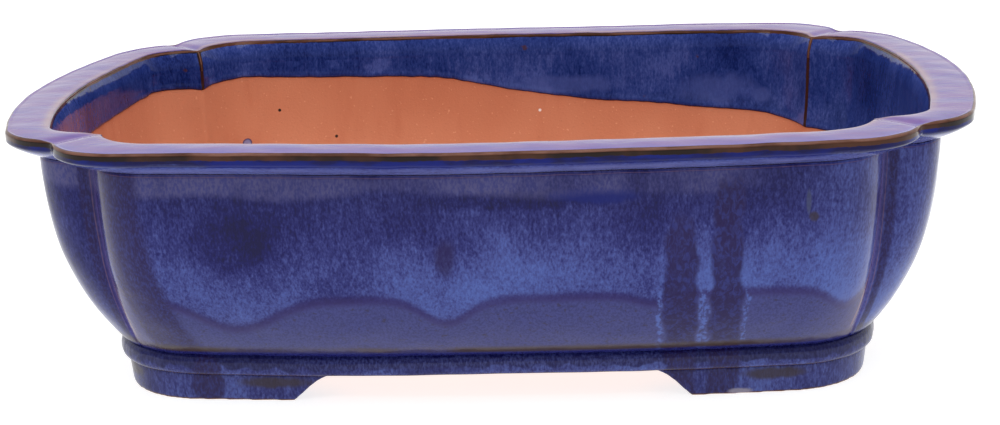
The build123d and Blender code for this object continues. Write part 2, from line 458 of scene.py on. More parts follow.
def shaded_glaze(points, side, to_notch):
    """How dark the glaze is beside the grooves."""
    rise, fall = SHADED_BAND if side in LONG_SIDES else SHADED_STREAK
    shaded = smooth(to_notch, *rise) * (1 - smooth(to_notch, *fall))
    starts, ends = SHADED_ENDS[side]
    share = smooth(place_along(points, side), *SHADED_TURN)
    return shaded * (starts * (1 - share) + ends * share)


def thin_edges(z, side, depth, to_notch):
    """How thin the glaze is on a panel's upright edges and along its top."""
    end = side not in LONG_SIDES
    upright = peak(to_notch - EDGE_PLACE[end], EDGE_BREADTH[end]) * EDGE_SHARE[end]
    place, breadth = TOP_LINE
    along_top = peak(depth - place, breadth) * smooth(to_notch, 2 * MM, 5 * MM)
    return np.maximum(upright, TOP_LINE_SHARE * along_top) * smooth(z, *EDGE_FOOT)


def build_walls(side):
    outer, inner, depth, to_notch = wall_surfaces(side)
    toward = unit(outer[..., :2] - inner[..., :2])
    clay = outer.copy()
    clay[..., :2] -= toward * GLAZE_THICKNESS * CLAY_SHARE
    add_loop_piece("wall_" + side, np.concatenate([clay, inner[::-1]]))

    run, drip = above_run(outer, side), drip_share(outer, side)
    thick = RUN_BEAD * smooth(run, -0.15, 0.25) * (1 - smooth(run, 0.6, 3.0)) + DRIP_RISE * drip
    coat = outer.copy()
    coat[..., :2] += toward * (thick * smooth(to_notch, 2 * MM, 12 * MM))[..., None]
    fields = {
        "edge": thin_edges(outer[..., 2], side, depth, to_notch),
        # painted reflection near the notches of the long panels
        "sheen": np.exp(-to_notch / SHEEN_REACH) * (side in LONG_SIDES),
        "groove": peak(to_notch, GROOVE_BREADTH),
        "pool": shaded_glaze(outer, side, to_notch),
        "run": run,
        "drip": drip,
    }
    fields = {key: np.concatenate([value, value[::-1]]) for key, value in fields.items()}
    add_loop_piece("outer_glaze_" + side, np.concatenate([coat, clay[::-1]]), fields)


# --- Glaze inside the cavity ---

LINE_HEIGHT = 74 * MM  # the glaze's lower edge, which slants along X and Y
LINE_FALL_X = 0.085
LINE_RISE_Y = 0.06
LINE_REACH = 32 * MM  # the edge stays within this of that height
LINE_CREST = 5.5 * MM  # it bulges up by this much, left of the middle
CREST_X = -45 * MM
CREST_BREADTH = 65 * MM
LINE_WAVES = (Ripple(31, 55 * MM), 0.5 * MM), (Ripple(32, 7 * MM), 0.075 * MM)
INNER_GLAZE = 0.6 * MM
INNER_HIDDEN = 0.1 * MM  # how far the glaze's back lies in the clay
INNER_ROWS = 40
INNER_CROWDING = 1.6
INNER_LEVELS = 24
INNER_ROLL = 1.2 * MM
BEAD_PLACE = 1.5 * MM
BEAD_SHARE = 0.2
INK_BREADTH = 0.8 * MM
POOL_REACH = 16 * MM
RUST_BREADTH = 1.1 * MM  # thin rusty glaze on the upright ridges


def glaze_line(plan):
    """Height of the lower edge of the glaze inside, at plan points."""
    flat = lifted(plan, LINE_HEIGHT)
    wave = sum(size * field(flat) for field, size in LINE_WAVES)
    crest = LINE_CREST * peak(plan[:, 0] - CREST_X, CREST_BREADTH)
    return LINE_HEIGHT - LINE_FALL_X * plan[:, 0] + LINE_RISE_Y * plan[:, 1] + crest + wave


def cavity_at(side, z):
    """Cavity points and the direction into the clay, where the height differs along the side."""
    levels = np.linspace(LINE_HEIGHT - LINE_REACH, WALL_TOP, INNER_LEVELS)
    cavities = np.array([side_points(cavity_outline(level), side, RIDGE_SOFT) for level in levels])
    walls = np.array([side_points(wall_outline(level), side, NOTCH_SOFT) for level in levels])
    place = np.clip((z - levels[0]) / (levels[1] - levels[0]), 0, len(levels) - 1.001)
    low = place.astype(int)
    share = (place - low)[:, None]
    column = np.arange(len(z))
    plan, wall = [
        stack[low, column] * (1 - share) + stack[low + 1, column] * share for stack in (cavities, walls)
    ]
    return plan, unit(wall - plan)


def build_inner_glaze(side):
    line = glaze_line(side_points(cavity_outline(LINE_HEIGHT), side, RIDGE_SOFT))
    face, back, heights, rust = [], [], [], []
    for t in np.linspace(0, 1, INNER_ROWS) ** INNER_CROWDING:
        z = line + (WALL_TOP - line) * t
        plan, outward = cavity_at(side, z)
        above = z - line
        thick = INNER_GLAZE * (rolled(above, INNER_ROLL) + BEAD_SHARE * peak(above - BEAD_PLACE, INNER_ROLL))
        face.append(lifted(plan - outward * thick[:, None], z))
        back.append(lifted(plan + outward * INNER_HIDDEN, z))
        heights.append(above)
        rust.append(peak(run_to_notch(plan), RUST_BREADTH))
    # the loop runs up the hidden back, then down the face
    above = np.concatenate([heights, heights[::-1]])
    fields = {
        "edge": peak(above, INK_BREADTH),
        "pool": np.exp(-above / POOL_REACH),
        "rust": np.concatenate([rust, rust[::-1]]),
    }
    add_loop_piece("inner_glaze_" + side, np.concatenate([back, face[::-1]]), fields)


# --- Rim ---

LIP_CREASE = 0.5 * MM  # the lip's underside starts this far inside the wall's outline
LIP_FACE = 4 * MM  # depth of the lip's upright face
LIP_CURVE_POWER = 1.5  # curve of the lip's underside from the crease out to the face
LIP_ROUND = 1.4 * MM  # rounding of the lip's outer upper edge
LIP_BROWN = 0.85  # how much thin brown glaze there is at the top of the lip's face
LIP_BROWN_END = 0.6 * MM, 2.3 * MM
LIP_BLUE_REACH = 2.2 * MM
MOUTH_ROUND = 1.3 * MM  # rounding of the rim's inner edge
MOUTH_POWER = 2  # the upright face of the opening flares towards that edge
MOUTH_BREADTH = 2 * MM
RIM_CROWN = 0.35 * MM
FOLD_DEPTH = 0.9 * MM  # dip in the rim's top along each notch
FOLD_WIDTH = 4.5 * MM
RIM_NOTCH_SOFT = 2.4 * MM

# Fine brown lines under the lip, by share of the way in from its face: (place, breadth, strength)
UNDER_LINES = (0.97, 0.025, 0.45), (0.86, 0.02, 0.27)

# Rows of points in each stretch of the rim's section
UNDER_ROWS = 24
LIP_FACE_ROWS = 9
LIP_ROUND_ROWS = 15
TOP_ROWS = 26
MOUTH_ROUND_ROWS = 10
MOUTH_FACE_ROWS = 15


class RimSection:
    """A rim member's closed section, built row by row, with the fields that its material uses."""

    def __init__(self, side):
        wall = side_points(WALL_AT_TOP, side, NOTCH_SOFT)
        cavity = side_points(CAVITY_AT_TOP, side, RIDGE_SOFT)
        into_cavity = unit(cavity - wall)
        self.rim = side_points(RIM, side, RIM_NOTCH_SOFT)
        self.opening = side_points(RIM_OPENING, side, RIDGE_SOFT)
        self.inward = unit(self.opening - self.rim)
        self.width = np.linalg.norm(self.opening - self.rim, axis=1)
        self.fold = FOLD_DEPTH * peak(run_to_notch(self.rim), FOLD_WIDTH)
        self.crease = wall + into_cavity * LIP_CREASE
        self.foot = cavity + into_cavity * INNER_GLAZE
        self.rows = []
        self.fields = {key: [] for key in ("edge", "pool", "top", "mouth", "inside", "under")}

    def add(self, plan, z, **shares):
        self.rows.append(lifted(plan, z))
        for key, layer in self.fields.items():
            layer.append(np.zeros(len(plan)) + shares.get(key, 0.0))

    def add_underside(self):
        """From the crease out to the lip's face."""
        for t in np.linspace(1, 0, UNDER_ROWS):
            share = 1 - t**LIP_CURVE_POWER
            z = RIM_TOP - LIP_FACE - t * (RIM_TOP - LIP_FACE - WALL_TOP)
            lines = sum(strength * peak(t - place, breadth) for place, breadth, strength in UNDER_LINES)
            # under marks where the underside is painted paler, as painted light from the floor below
            self.add(self.crease + (self.rim - self.crease) * share, z, edge=lines,
                     pool=0.8 * smooth(share, 0.72, 1.0), under=1 - smooth(share, 0.6, 0.95))

    def add_lip(self):
        """The lip's face and its rounding: thin brown glaze above, with a painted highlight on the rounding,
        pooled glaze below.
        """
        for below in np.linspace(LIP_FACE - LIP_ROUND, 0, LIP_FACE_ROWS + 1)[1:]:
            brown = LIP_BROWN - LIP_BROWN * smooth(below, *LIP_BROWN_END)
            self.add(self.rim, RIM_TOP - LIP_ROUND - below, edge=brown, pool=1.0)
        for angle in np.linspace(0, pi / 2, LIP_ROUND_ROWS + 1)[1:]:
            plan = self.rim + self.inward * LIP_ROUND * (1 - cos(angle))
            z = RIM_TOP - LIP_ROUND * (1 - sin(angle)) - self.fold * sin(angle) ** 4
            on_top = smooth(angle, 1.2, 1.5)
            brown = (LIP_BROWN + (1 - LIP_BROWN) * smooth(angle, 0, 0.5)) * (1 - on_top)
            self.add(plan, z, edge=brown, pool=cos(angle), top=on_top)

    def add_top(self):
        """From the outer edge to the mouth, slightly crowned."""
        flat = self.width - LIP_ROUND - MOUTH_ROUND
        for share in np.linspace(0, 1, TOP_ROWS + 2)[1:-1]:
            reach = LIP_ROUND + share * flat
            z = RIM_TOP - RIM_CROWN * (2 * share - 1) ** 2 - self.fold
            self.add(self.rim + self.inward * reach[:, None], z, top=1.0,
                     mouth=peak((1 - share) * flat, MOUTH_BREADTH),
                     pool=np.exp(-share * flat / LIP_BLUE_REACH))

    def add_mouth(self):
        """The mouth's rounding, and the face below it, upright where it meets the cavity."""
        for angle in np.linspace(0, pi / 2, MOUTH_ROUND_ROWS):
            plan = self.opening - self.inward * MOUTH_ROUND * (1 - sin(angle))
            z = RIM_TOP - RIM_CROWN - MOUTH_ROUND * (1 - cos(angle)) - self.fold * cos(angle) ** 2
            # the edge share nears 1 over the top of the mouth, where the rim's material paints a brown
            # highlight
            self.add(plan, z, edge=smooth(angle, 0.5, 1.1), top=cos(angle) ** 2, mouth=cos(angle))
        rust = peak(run_to_notch(self.opening), RUST_BREADTH)
        for t in np.linspace(0, 1, MOUTH_FACE_ROWS + 1)[1:] ** 1.5:
            plan = self.opening + (self.foot - self.opening) * (1 - (1 - t) ** MOUTH_POWER)
            z = (RIM_TOP - RIM_CROWN - MOUTH_ROUND) * (1 - t) + WALL_TOP * t
            brown = np.maximum(1 - smooth(t, 0, 0.14), rust)
            self.add(plan, z, edge=brown, inside=smooth(t, 0, 0.1))

    def add_joint(self):
        """The middle of the hidden face that lies on the wall."""
        self.add((self.foot + self.crease) / 2, WALL_TOP)


def build_rim(side):
    section = RimSection(side)
    section.add_underside()
    section.add_lip()
    section.add_top()
    section.add_mouth()
    section.add_joint()
    # the section is nearly flat at its ends, so each end is a single face
    add_loop_piece("rim_" + side, np.array(section.rows), section.fields, single_ends)


# --- Base moulding ---

BAND_ROWS = 30
BAND_OUT = 0.6 * MM  # how far the moulding swells out in its middle
BAND_CREASE = 0.9 * MM  # how far it draws in at its top and bottom
BAND_POWER = 3.0
BAND_EDGE = 0.10  # breadth of the worn lower edge, as a share of the half height
POOLING = Ripple(33, 6 * MM)
POOLING_RISE = 0.07 * MM
POOLING_WANDER = 0.16


def build_band(side):
    core = side_points(base_outline(BAND_DEPTH), side)
    line = side_points(base_outline(0), side)
    outward = unit(line - core)
    face, edge, pool = [], [], []
    for t in np.sin(np.linspace(-1, 1, BAND_ROWS) * pi / 2):
        z = FOOT_TOP + (WALL_BASE - FOOT_TOP) * (t + 1) / 2
        swell = BAND_OUT - (BAND_OUT + BAND_CREASE) * abs(t) ** BAND_POWER
        scallop = POOLING(lifted(line, z) * (1, 1, 0))
        drip = POOLING_RISE * np.maximum(0, scallop) * (1 - t * t)
        face.append(lifted(line + outward * (swell + drip)[:, None], z))
        edge.append(np.full(len(line), peak(1 + t, BAND_EDGE)))
        pool.append(smooth(t + POOLING_WANDER * scallop, -0.45, 0.0))
    hidden = [lifted(core, z) for z in np.linspace(WALL_BASE, FOOT_TOP, BAND_ROWS)]
    blank = [np.zeros(len(line))] * BAND_ROWS
    fields = {
        "edge": np.array(edge + blank),
        "pool": np.array(pool + blank),
        "drip": np.concatenate([drip_share(np.array(face), side), blank]),
    }
    add_loop_piece("base_band_" + side, np.array(face + hidden), fields)


# --- Pieces softened from the CAD's solids ---

FOOT_VOXEL, FOOT_ROUNDS = 0.9 * MM, 6
SLAB_VOXEL, SLAB_ROUNDS = 1.4 * MM, 3
WELD_REACH = 0.01 * MM
FOOT_WEAR = 1.2 * MM  # height of the worn lower edge of a foot
FOOT_BARE = 0.25 * MM  # the glaze is wiped off below this


def softened(node, voxel, rounds):
    """A copy of a CAD node's mesh with its edges rounded, smooth and dense."""
    work = add_object("work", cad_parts[node].data.copy())
    weld = work.modifiers.new("weld", "WELD")
    weld.merge_threshold = WELD_REACH
    remesh = work.modifiers.new("remesh", "REMESH")
    remesh.mode = "VOXEL"
    remesh.voxel_size = voxel
    relax = work.modifiers.new("relax", "SMOOTH")
    relax.factor = 0.5
    relax.iterations = rounds
    bpy.context.view_layer.update()
    mesh = bpy.data.meshes.new_from_object(work.evaluated_get(bpy.context.evaluated_depsgraph_get()))
    bpy.data.objects.remove(work)
    return mesh


def add_softened(node, voxel, rounds, make_fields=None):
    mesh = softened(node, voxel, rounds)
    points = np.empty(len(mesh.vertices) * 3)
    mesh.vertices.foreach_get("co", points)
    points = points.reshape(-1, 3)
    mesh.vertices.foreach_set("co", warped(points).ravel())
    if make_fields:
        write_fields(mesh, make_fields(points))
    add_piece(node, mesh)


def foot_fields(points):
    """Fields of a foot. corner marks it as a piece whose worn corners show."""
    z = points[:, 2]
    in_front = points[:, 1] < 0
    return {
        "edge": 0.9 * peak(z, FOOT_WEAR),
        "bare": 1 - smooth(z, 0.0, FOOT_BARE),
        "corner": np.ones(len(points)),
        "drip": np.where(in_front, drip_share(points, "front"), drip_share(points, "back")),
    }


# --- Materials ---

DEPTH_SHARE = 0.2  # a mark on the back wall reaches five times as deep as it is wide


class Graph:
    """The node tree of a material or a world, with a short method for each kind of node used."""

    def __init__(self, owner, output="ShaderNodeOutputMaterial", place="Object"):
        self.owner = owner
        owner.use_nodes = True
        self.tree = owner.node_tree
        self.tree.nodes.clear()
        self.output = self.add(output)
        self.place = self.add("ShaderNodeTexCoord").outputs[place]
        self.x, self.y, self.z = self.add("ShaderNodeSeparateXYZ", self.place).outputs

    def add(self, kind, *values, **settings):
        """A new node with these settings, and with values or sockets for its first inputs."""
        node = self.tree.nodes.new(kind)
        for name, value in settings.items():
            setattr(node, name, value)
        for socket, value in zip(node.inputs, values):
            self.feed(socket, value)
        return node

    def add_named(self, kind, **values):
        """A new node with values or sockets for the inputs of these names."""
        node = self.add(kind)
        for name, value in values.items():
            self.feed(node.inputs[name.replace("_", " ")], value)
        return node

    def feed(self, socket, value):
        if isinstance(value, bpy.types.NodeSocket):
            self.tree.links.new(value, socket)
        elif socket.type == "RGBA":
            socket.default_value = (*value, 1.0)
        elif value is not None:
            socket.default_value = value

    def math(self, operation, first, second=0.0, third=0.0):
        return self.add("ShaderNodeMath", first, second, third, operation=operation).outputs[0]

    def times(self, first, second):
        return self.math("MULTIPLY", first, second)

    def stirred(self, value, pattern, amount=1.0):
        """A value moved up and down by a pattern that is about 0.5 in its middle."""
        return self.math("MULTIPLY_ADD", self.math("SUBTRACT", pattern, 0.5), amount, value)

    def mix(self, share, first, second):
        node = self.add("ShaderNodeMix", share, data_type="RGBA")
        self.feed(node.inputs[6], first)
        self.feed(node.inputs[7], second)
        return node.outputs[2]

    def tint(self, colour, mark, amount, target):
        """A colour turned towards the target where a mark lies, by at most this amount."""
        return self.mix(self.times(mark, amount), colour, target)

    def ramp(self, value, stops):
        node = self.add("ShaderNodeValToRGB", value)
        elements = node.color_ramp.elements
        while len(elements) < len(stops):
            elements.new(0.5)
        for element, (position, colour) in zip(elements, stops):
            element.position = position
            element.color = (*colour, 1.0)
        return node.outputs[0]

    def scaled(self, *scale):
        return self.add("ShaderNodeVectorMath", self.place, scale, operation="MULTIPLY").outputs[0]

    def distance(self, centre, scale):
        """Distance from a centre, with space stretched along each axis first."""
        middle = [place * share for place, share in zip(centre, scale)]
        node = self.add("ShaderNodeVectorMath", self.scaled(*scale), middle, operation="DISTANCE")
        return node.outputs["Value"]

    def noise(self, place, scale, detail=3.0, roughness=0.55, distortion=0.0):
        return self.add_named(
            "ShaderNodeTexNoise", Vector=place, Scale=scale, Detail=detail, Roughness=roughness,
            Distortion=distortion,
        ).outputs["Fac"]

    def step(self, value, low, high, *ends):
        """0 at low, 1 at high (or the two ends given) and a smooth step between."""
        values = value, low, high, *ends
        return self.add("ShaderNodeMapRange", *values, interpolation_type="SMOOTHSTEP").outputs[0]

    def field(self, name):
        return self.add("ShaderNodeAttribute", attribute_name=name).outputs["Fac"]

    def bump(self, height, distance, strength, under=None):
        inputs = {"Height": height, "Distance": distance, "Strength": strength, "Normal": under}
        return self.add_named("ShaderNodeBump", **inputs).outputs[0]

    def show(self, kind, **values):
        """The shader that the material or world shows."""
        shader = self.add_named(kind, **values)
        self.tree.links.new(shader.outputs[0], self.output.inputs["Surface"])
        return self.owner


# Blues of the glaze, from the thickest to where pale crystals float in it; the splash's pale middle and the
# lip's underside blue also hold painted light
INK = (0.004, 0.003, 0.045)
NAVY = (0.006, 0.006, 0.085)
COBALT = (0.021, 0.024, 0.140)
MIDDLE_BLUE = (0.045, 0.057, 0.222)
PALE_BLUE = (0.070, 0.108, 0.350)
POOLED_BLUE = (0.003, 0.009, 0.135)
HAZE_BLUE = (0.052, 0.078, 0.270)
# the splash's pale middle: glaze blue with a painted highlight in it
SPLASH_GLINT_BLUE = (0.16, 0.20, 0.40)
# painted light: the paler blue of the lip's underside, standing in for light from the bright floor on that
# shaded underside
LIP_BLUE = (0.145, 0.155, 0.370)
LIP_EDGE_BLUE = (0.120, 0.110, 0.330)

# Greys and violets
# GREY_SHADE and GREY_BLUE also carry a painted reflection of the pale floor on the lower wall
GREY_SHADE = (0.032, 0.034, 0.130)
GREY_BLUE = (0.046, 0.050, 0.190)
GREY_PALE = (0.050, 0.060, 0.115)
STRIP_GREY = (0.086, 0.078, 0.185)
CHIP = (0.22, 0.20, 0.27)
PLUM = (0.012, 0.005, 0.055)
VIOLET = (0.024, 0.015, 0.105)
LILAC = (0.088, 0.056, 0.225)
# the rim top's lavender: partly glaze colour, partly a painted reflection of the bright studio
LAVENDER_SHEEN = (0.132, 0.062, 0.208)
# ROSE: thin glaze on the panels' edges, and also a painted reflection near the notches
ROSE = (0.22, 0.12, 0.16)

# Browns of thin glaze, one of them with a painted highlight in it, and the clay
OLIVE = (0.030, 0.020, 0.026)
SEPIA = (0.050, 0.030, 0.020)
RUST = (0.032, 0.012, 0.009)
DARK_BROWN = (0.012, 0.006, 0.005)
RED_BROWN = (0.060, 0.022, 0.012)
# paler warm brown, a painted highlight on the rim's rounded edges
HIGHLIGHT_BROWN = (0.150, 0.070, 0.050)
BEIGE = (0.26, 0.17, 0.16)
CHALK = (0.85, 0.78, 0.75)
CLAY = (0.57, 0.220, 0.120)
CLAY_SHADE = (0.505, 0.174, 0.090)
CLAY_PORES = (0.28, 0.08, 0.045)
CLAY_GRIT = (0.80, 0.42, 0.25)
CLAY_WIPED = (0.42, 0.115, 0.055)

GLAZE_TONES = ((0.22, INK), (0.36, NAVY), (0.50, COBALT), (0.62, MIDDLE_BLUE), (0.82, PALE_BLUE))
INSIDE_TONES = (
    (0.25, (0.003, 0.006, 0.045)),
    (0.40, (0.007, 0.017, 0.115)),
    (0.56, (0.018, 0.037, 0.185)),
    (0.80, (0.060, 0.090, 0.310)),
)


class GlazeGraph(Graph):
    """A glaze's node tree, with the patterns in it, each about 0.5 in the middle."""

    def __init__(self, name):
        super().__init__(bpy.data.materials.new(name))
        self.crystals = self.noise(self.scaled(1, 1, 0.45), 1200, detail=2, roughness=0.65)
        self.streaks = self.noise(self.scaled(1, 1, 0.2), 520, detail=2, roughness=0.6, distortion=0.2)
        self.clouds = self.noise(self.scaled(1, 1, 0.8), 24, detail=3, roughness=0.5, distortion=0.5)

    def crystal_mix(self, low, high, first, second):
        return self.mix(self.step(self.crystals, low, high), first, second)


def glaze_tone(g, weights, *extra, tones=GLAZE_TONES):
    """A colour from the weighted patterns, and from fields that make it darker or paler."""
    tone = 0.5
    for pattern, weight in zip((g.crystals, g.streaks, g.clouds), weights):
        tone = g.stirred(tone, pattern, weight)
    for field, weight in extra:
        tone = g.math("MULTIPLY_ADD", field, weight, tone)
    return g.ramp(tone, tones)


def patch(g, centre, radii):
    """A soft oval patch with a wandering outline: 1 in its middle, 0 outside."""
    away = g.distance(centre, [1 / radius for radius in radii])
    return g.step(g.stirred(away, g.noise(g.scaled(1, 1, 0.5), 160, detail=2), 0.9), 1.15, 0.55)


def spot(g, centre, rim, full):
    """A round spot on the back wall: 0 at its rim's distance and 1 within the full one."""
    return g.step(g.distance(centre, (1, DEPTH_SHARE, 1)), rim, full)


def ragged(g, field, low, high, amount=0.5, scale=300):
    """A field's share of 0 to 1, broken up along its edge."""
    return g.step(g.stirred(field, g.noise(g.place, scale, detail=3), amount), low, high)


def glaze_surface(g, colour, specular, roughness=(0.09, 0.2), wave=0.35):
    """Glossy glaze with slow waves and fine streaks in its surface."""
    normal = g.bump(g.noise(g.scaled(1, 1, 0.6), 75, detail=2), 0.0010, wave)
    normal = g.bump(g.streaks, 0.0003, 0.12, normal)
    rough = g.step(g.streaks, 0.3, 0.75, *roughness)
    return g.show(
        "ShaderNodeBsdfPrincipled", Base_Color=colour, Roughness=rough, Normal=normal, IOR=1.5,
        Specular_IOR_Level=specular,
    )


# Marks on the front's glaze: (centre, radii)
DARK_CLOUD = ((-0.096, -0.125, 0.073), (0.017, 0.04, 0.013))
DARK_STREAK = ((0.012, -0.130, 0.0905), (0.040, 0.04, 0.0045))
VIOLET_SPOT = ((-0.0145, -0.128, 0.068), (0.0045, 0.04, 0.008))
BLUE_POOL = ((0.042, -0.133, 0.0915), (0.019, 0.04, 0.0035))
FLAW = ((0.1205, -0.130, 0.0865), (0.0011, 0.02, 0.0055))
FLAW_FOOT = ((0.1225, -0.128, 0.0805), (0.0022, 0.02, 0.0022))


def wall_tone(g, run):
    """The thick glaze: paler just above the run's edge, darker high up and at the left."""
    glow = g.times(g.step(run, 0.1, 0.4), g.step(run, 4.2, 0.6))
    colour = glaze_tone(
        g, (0.62, 0.28, 0.60),
        (glow, 0.17),
        (g.step(g.z, 0.060, 0.095), -0.05),
        (g.step(g.x, -0.03, -0.09), -0.09),
        (g.step(g.x, 0.105, 0.140), 0.11),
        (patch(g, *DARK_CLOUD), -0.14),
        (patch(g, *DARK_STREAK), -0.14),
    )
    colour = g.tint(colour, patch(g, *VIOLET_SPOT), 0.7, PLUM)
    return g.tint(colour, patch(g, *BLUE_POOL), 0.85, POOLED_BLUE)


def strip_under_lip(g, colour):
    """A strip of smoother, greyer glaze right under the lip, which ends towards the right."""
    strip_edge = g.math("MULTIPLY_ADD", g.noise(g.scaled(1, 1, 0), 16, detail=2), -0.012, 0.0985)
    strip = g.step(g.math("SUBTRACT", g.z, strip_edge), -0.0020, 0.0018)
    strip = g.times(strip, g.step(g.x, 0.120, 0.080))
    pale = g.crystal_mix(0.35, 0.62, GREY_BLUE, STRIP_GREY)
    return g.tint(colour, strip, g.step(g.clouds, 0.35, 0.6, 0.15, 0.8), pale)


def glaze_and_floor_sheen_below_run(g, run, colour):
    """Grey-blue below the thick run, partly a smoother glaze and partly a painted reflection of the pale
    floor, with olive specks, and the run's violet edge.
    """
    grey = g.crystal_mix(0.35, 0.62, GREY_SHADE, GREY_BLUE)
    specks = g.step(g.noise(g.place, 520, detail=1), 0.62, 0.74)
    grey = g.tint(grey, specks, 0.5, OLIVE)
    # painted reflection: below the run the wall is painted greyer, where it faces the pale floor
    colour = g.mix(g.step(run, 0.06, -0.10), colour, grey)
    line = g.times(g.step(run, -0.30, 0.0), g.step(run, 0.45, 0.05))
    return g.tint(colour, line, 0.7, VIOLET)


def dark_drips(g, colour):
    """Dark drips, with pale crystals heaped along their sides low down."""
    drip = g.field("drip")
    bank = g.times(g.step(drip, 0.005, 0.08), g.step(drip, 0.62, 0.30))
    heaps = g.step(g.noise(g.scaled(1, 1, 0.6), 480, detail=2), 0.44, 0.62)
    low_down = g.step(g.z, 0.070, 0.045)
    colour = g.tint(colour, bank, g.times(heaps, low_down), PALE_BLUE)
    worms = g.noise(g.scaled(1, 1, 0.55), 520, detail=2, roughness=0.7, distortion=0.8)
    dark = g.mix(g.step(worms, 0.42, 0.68), PLUM, COBALT)
    return g.tint(colour, g.step(drip, 0.35, 0.85), 0.92, dark)


def glaze_on_edges(g, colour):
    """Darker glaze beside the grooves, a rosy painted reflection near the notches, and thin glaze over the
    panels' edges.
    """
    shaded = g.crystal_mix(0.40, 0.70, PLUM, COBALT)
    colour = g.tint(colour, ragged(g, g.field("pool"), 0.15, 0.7, 0.6, 60), 0.92, shaded)
    # painted reflection: a rosy sheen near the notches of the long panels
    colour = g.tint(colour, g.field("sheen"), 0.3, ROSE)
    colour = g.tint(colour, g.field("groove"), 0.6, LILAC)
    return g.tint(colour, ragged(g, g.field("edge"), 0.3, 0.8, 0.3), 0.8, ROSE)


def foot_of_wall(g, colour):
    """A faint brown line above the crease over the moulding, and dark glaze in the crease."""
    line = g.times(g.step(g.z, 0.0215, 0.0228), g.step(g.z, 0.0265, 0.0238))
    colour = g.tint(colour, line, g.step(g.clouds, 0.35, 0.6, 0.35, 0.9), SEPIA)
    crease = g.crystal_mix(0.35, 0.65, NAVY, COBALT)
    return g.mix(g.step(g.z, 0.0228, 0.0208), colour, crease)


def wall_glaze(name):
    g = GlazeGraph(name)
    run = g.field("run")
    colour = strip_under_lip(g, wall_tone(g, run))
    colour = glaze_and_floor_sheen_below_run(g, run, colour)
    colour = dark_drips(g, colour)
    colour = glaze_on_edges(g, colour)
    colour = g.tint(colour, patch(g, *FLAW), 0.65, GREY_PALE)
    colour = g.tint(colour, patch(g, *FLAW_FOOT), 0.8, OLIVE)
    colour = foot_of_wall(g, colour)
    return glaze_surface(g, colour, 0.16)


def inside_tone(g, pool):
    """Colour of the glaze on the cavity: greener, with pale mottles low down and rusty specks."""
    mottles = g.times(g.step(g.noise(g.place, 60, detail=3), 0.52, 0.68), pool)
    colour = glaze_tone(g, (0.5, 0.3, 0.7), (mottles, 0.22), (1.0, 0.03), tones=INSIDE_TONES)
    rusty = g.step(g.noise(g.place, 150, detail=3), 0.70, 0.76)
    return g.tint(colour, rusty, 0.7, RED_BROWN)


# Pale clouds in the glaze inside: (centre, radii)
INSIDE_CLOUDS = (
    ((0.104, 0.124, 0.083), (0.021, 0.04, 0.008)),
    ((0.127, 0.122, 0.080), (0.005, 0.04, 0.004)),
    ((0.030, 0.127, 0.086), (0.030, 0.04, 0.005)),
    ((-0.060, -0.110, 0.070), (0.030, 0.04, 0.010)),
)


def inside_glaze(name):
    g = GlazeGraph(name)
    colour = inside_tone(g, g.field("pool"))
    colour = g.mix(ragged(g, g.field("edge"), 0.5, 0.9), colour, INK)
    for mark in INSIDE_CLOUDS:
        colour = g.tint(colour, patch(g, *mark), 0.6, HAZE_BLUE)
    colour = g.mix(ragged(g, g.field("rust"), 0.45, 0.6), colour, RUST)
    return glaze_surface(g, colour, 0.2)


def glaze_and_sheen_on_top(g, pool):
    """Brushed lavender for the rim's top, partly the glaze's colour and partly a painted reflection of the
    bright studio, bluer along the front's outer edge.
    """
    brushed = g.noise(g.scaled(0.3, 1, 1), 130, detail=3, roughness=0.6)
    lavender = g.mix(g.step(brushed, 0.38, 0.70), LAVENDER_SHEEN, LILAC)
    in_front = g.step(g.y, -0.105, -0.125)
    return g.tint(lavender, pool, in_front, LIP_EDGE_BLUE)


def thin_brown(g, smears, colour):
    """Thin brown glaze along the rim's edges, with a paler warm brown painted on the roundings as a
    highlight, and a frayed border.
    """
    edge = g.field("edge")
    brown = g.mix(g.step(g.noise(g.place, 24, detail=4), 0.45, 0.6), DARK_BROWN, RED_BROWN)
    # painted highlight: a paler warm brown where the edge share is full, on the roundings of the lip and the
    # mouth
    warm = g.mix(g.step(smears, 0.35, 0.65), RED_BROWN, HIGHLIGHT_BROWN)
    brown = g.mix(g.step(edge, 0.88, 1.0), brown, warm)
    frayed = g.stirred(edge, g.noise(g.scaled(1, 1, 0.3), 110, detail=3))
    return g.mix(ragged(g, frayed, 0.38, 0.58, 0.5, 500), colour, brown)


def rim_glaze(name):
    g = GlazeGraph(name)
    pool = g.field("pool")
    smears = g.noise(g.scaled(0.3, 0.3, 1), 190, detail=3)
    colour = glaze_tone(g, (0.7, 0.4, 0.5), (1.0, 0.10))
    pooled = g.mix(g.step(smears, 0.38, 0.62), INK, POOLED_BLUE)
    colour = g.mix(g.step(g.stirred(pool, smears), 0.3, 0.8), colour, pooled)
    # painted light: the lip's underside is painted paler blue towards the crease, in place of light from the
    # bright floor below
    colour = g.tint(colour, g.field("under"), g.step(smears, 0.3, 0.6, 0.35, 0.8), LIP_BLUE)
    # the rim's top: glaze colour with a painted reflection of the bright studio in it
    colour = g.tint(colour, g.field("top"), 0.9, glaze_and_sheen_on_top(g, pool))
    colour = g.mix(g.field("inside"), colour, inside_tone(g, 0.0))
    colour = g.tint(colour, g.field("mouth"), g.step(g.clouds, 0.3, 0.65, 0.1, 0.7), BEIGE)
    colour = thin_brown(g, smears, colour)
    return glaze_surface(g, colour, 0.14, (0.05, 0.11), 0.3)


